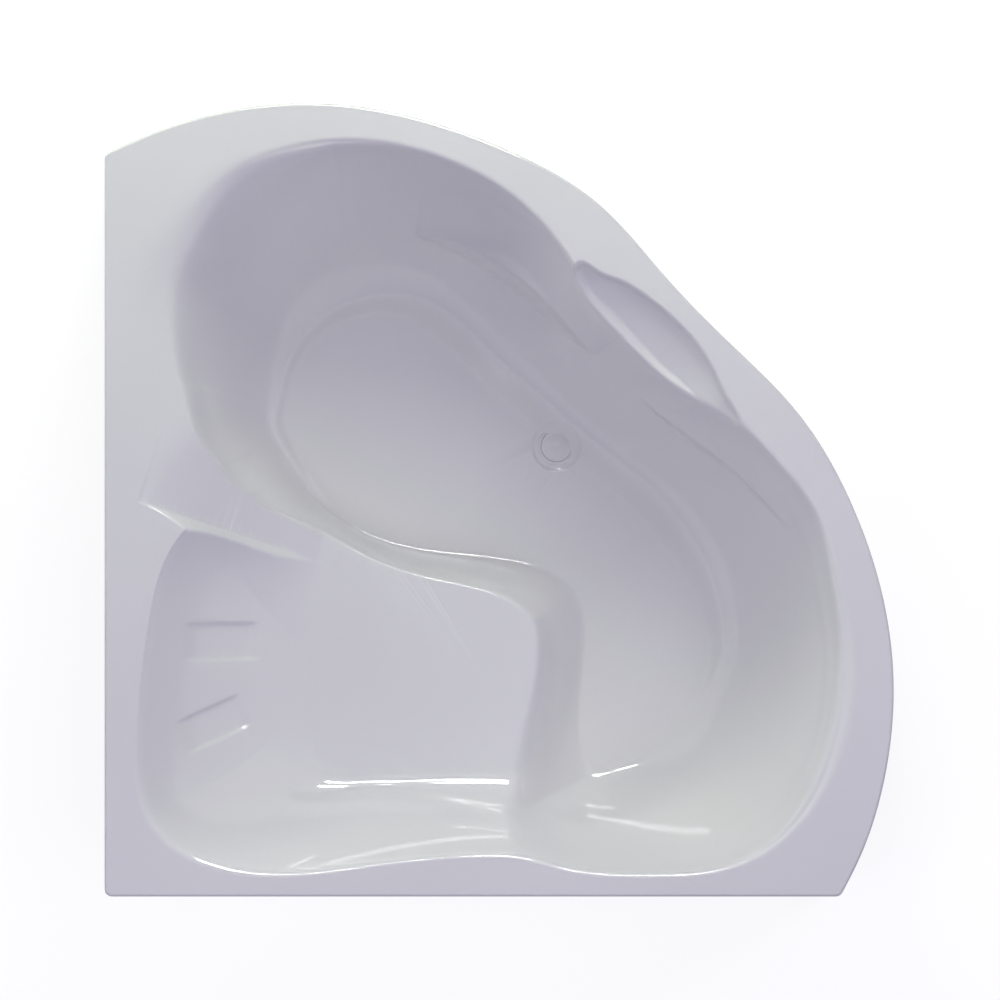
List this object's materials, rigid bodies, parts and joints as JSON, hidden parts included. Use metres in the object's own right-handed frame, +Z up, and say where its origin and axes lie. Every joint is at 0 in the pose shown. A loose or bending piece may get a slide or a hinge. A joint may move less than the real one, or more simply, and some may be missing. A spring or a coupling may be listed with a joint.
{
  "type": "corner bathtub",
  "caption": "Corner bathtub with a reclining bowl, a raised corner seat, a front shelf and a wavy front, on a steel frame with levelling feet, with its panel, waste and trap.",
  "frame": {"origin": "middle of the plan's bounding box, on the floor under the feet", "axes": "-X and -Y face the two walls, +Z is up; the wavy front faces +X and +Y"},
  "size_m": [1.492, 1.5, 0.62],
  "materials": {
    "acrylic": "white sanitary acrylic, gloss",
    "panel_acrylic": "white acrylic sheet, gloss",
    "chipboard": "raw chipboard sealed with resin",
    "block_wood": "sawn softwood",
    "frame_steel": "zinc coated steel tube, satin",
    "nut_steel": "zinc plated",
    "foot_plastic": "black pad on a plated stud",
    "hook_steel": "zinc plated",
    "waste_white": "white coated, gloss",
    "gasket_rubber": "soft rubber, matt",
    "trap_plastic": "white polypropylene, satin"
  },
  "bodies": {
    "bath": {"bath_shell": "acrylic", "front_panel": "panel_acrylic", "base_board": "chipboard", "rim_blocks": "block_wood", "frame_hub": "frame_steel", "foot_nuts": "nut_steel", "wall_hooks": "hook_steel", "waste_flange": "waste_white", "waste_gasket": "gasket_rubber", "back_nut": "trap_plastic", "trap_body": "trap_plastic", "trap_union": "trap_plastic", "trap_cap": "trap_plastic", "frame_leg_left": "frame_steel", "frame_leg_front_left": "frame_steel", "frame_leg_front_right": "frame_steel", "frame_leg_right": "frame_steel", "frame_leg_corner": "frame_steel"},
    "plug": {"plug": "waste_white"},
    "foot_left": {"foot_left": "foot_plastic"},
    "foot_front_left": {"foot_front_left": "foot_plastic"},
    "foot_front_right": {"foot_front_right": "foot_plastic"},
    "foot_right": {"foot_right": "foot_plastic"},
    "foot_corner": {"foot_corner": "foot_plastic"}
  },
  "joints": [
    {"name": "plug_lift", "type": "slide", "parent": "bath", "child": "plug", "axis": [0, 0, 1], "range_m": [0, 0.009]},
    {"name": "foot_left_level", "type": "slide", "parent": "bath", "child": "foot_left", "axis": [0, 0, -1], "range_m": [0, 0.03]},
    {"name": "foot_front_left_level", "type": "slide", "parent": "bath", "child": "foot_front_left", "axis": [0, 0, -1], "range_m": [0, 0.03]},
    {"name": "foot_front_right_level", "type": "slide", "parent": "bath", "child": "foot_front_right", "axis": [0, 0, -1], "range_m": [0, 0.03]},
    {"name": "foot_right_level", "type": "slide", "parent": "bath", "child": "foot_right", "axis": [0, 0, -1], "range_m": [0, 0.03]},
    {"name": "foot_corner_level", "type": "slide", "parent": "bath", "child": "foot_corner", "axis": [0, 0, -1], "range_m": [0, 0.03]}
  ]
}
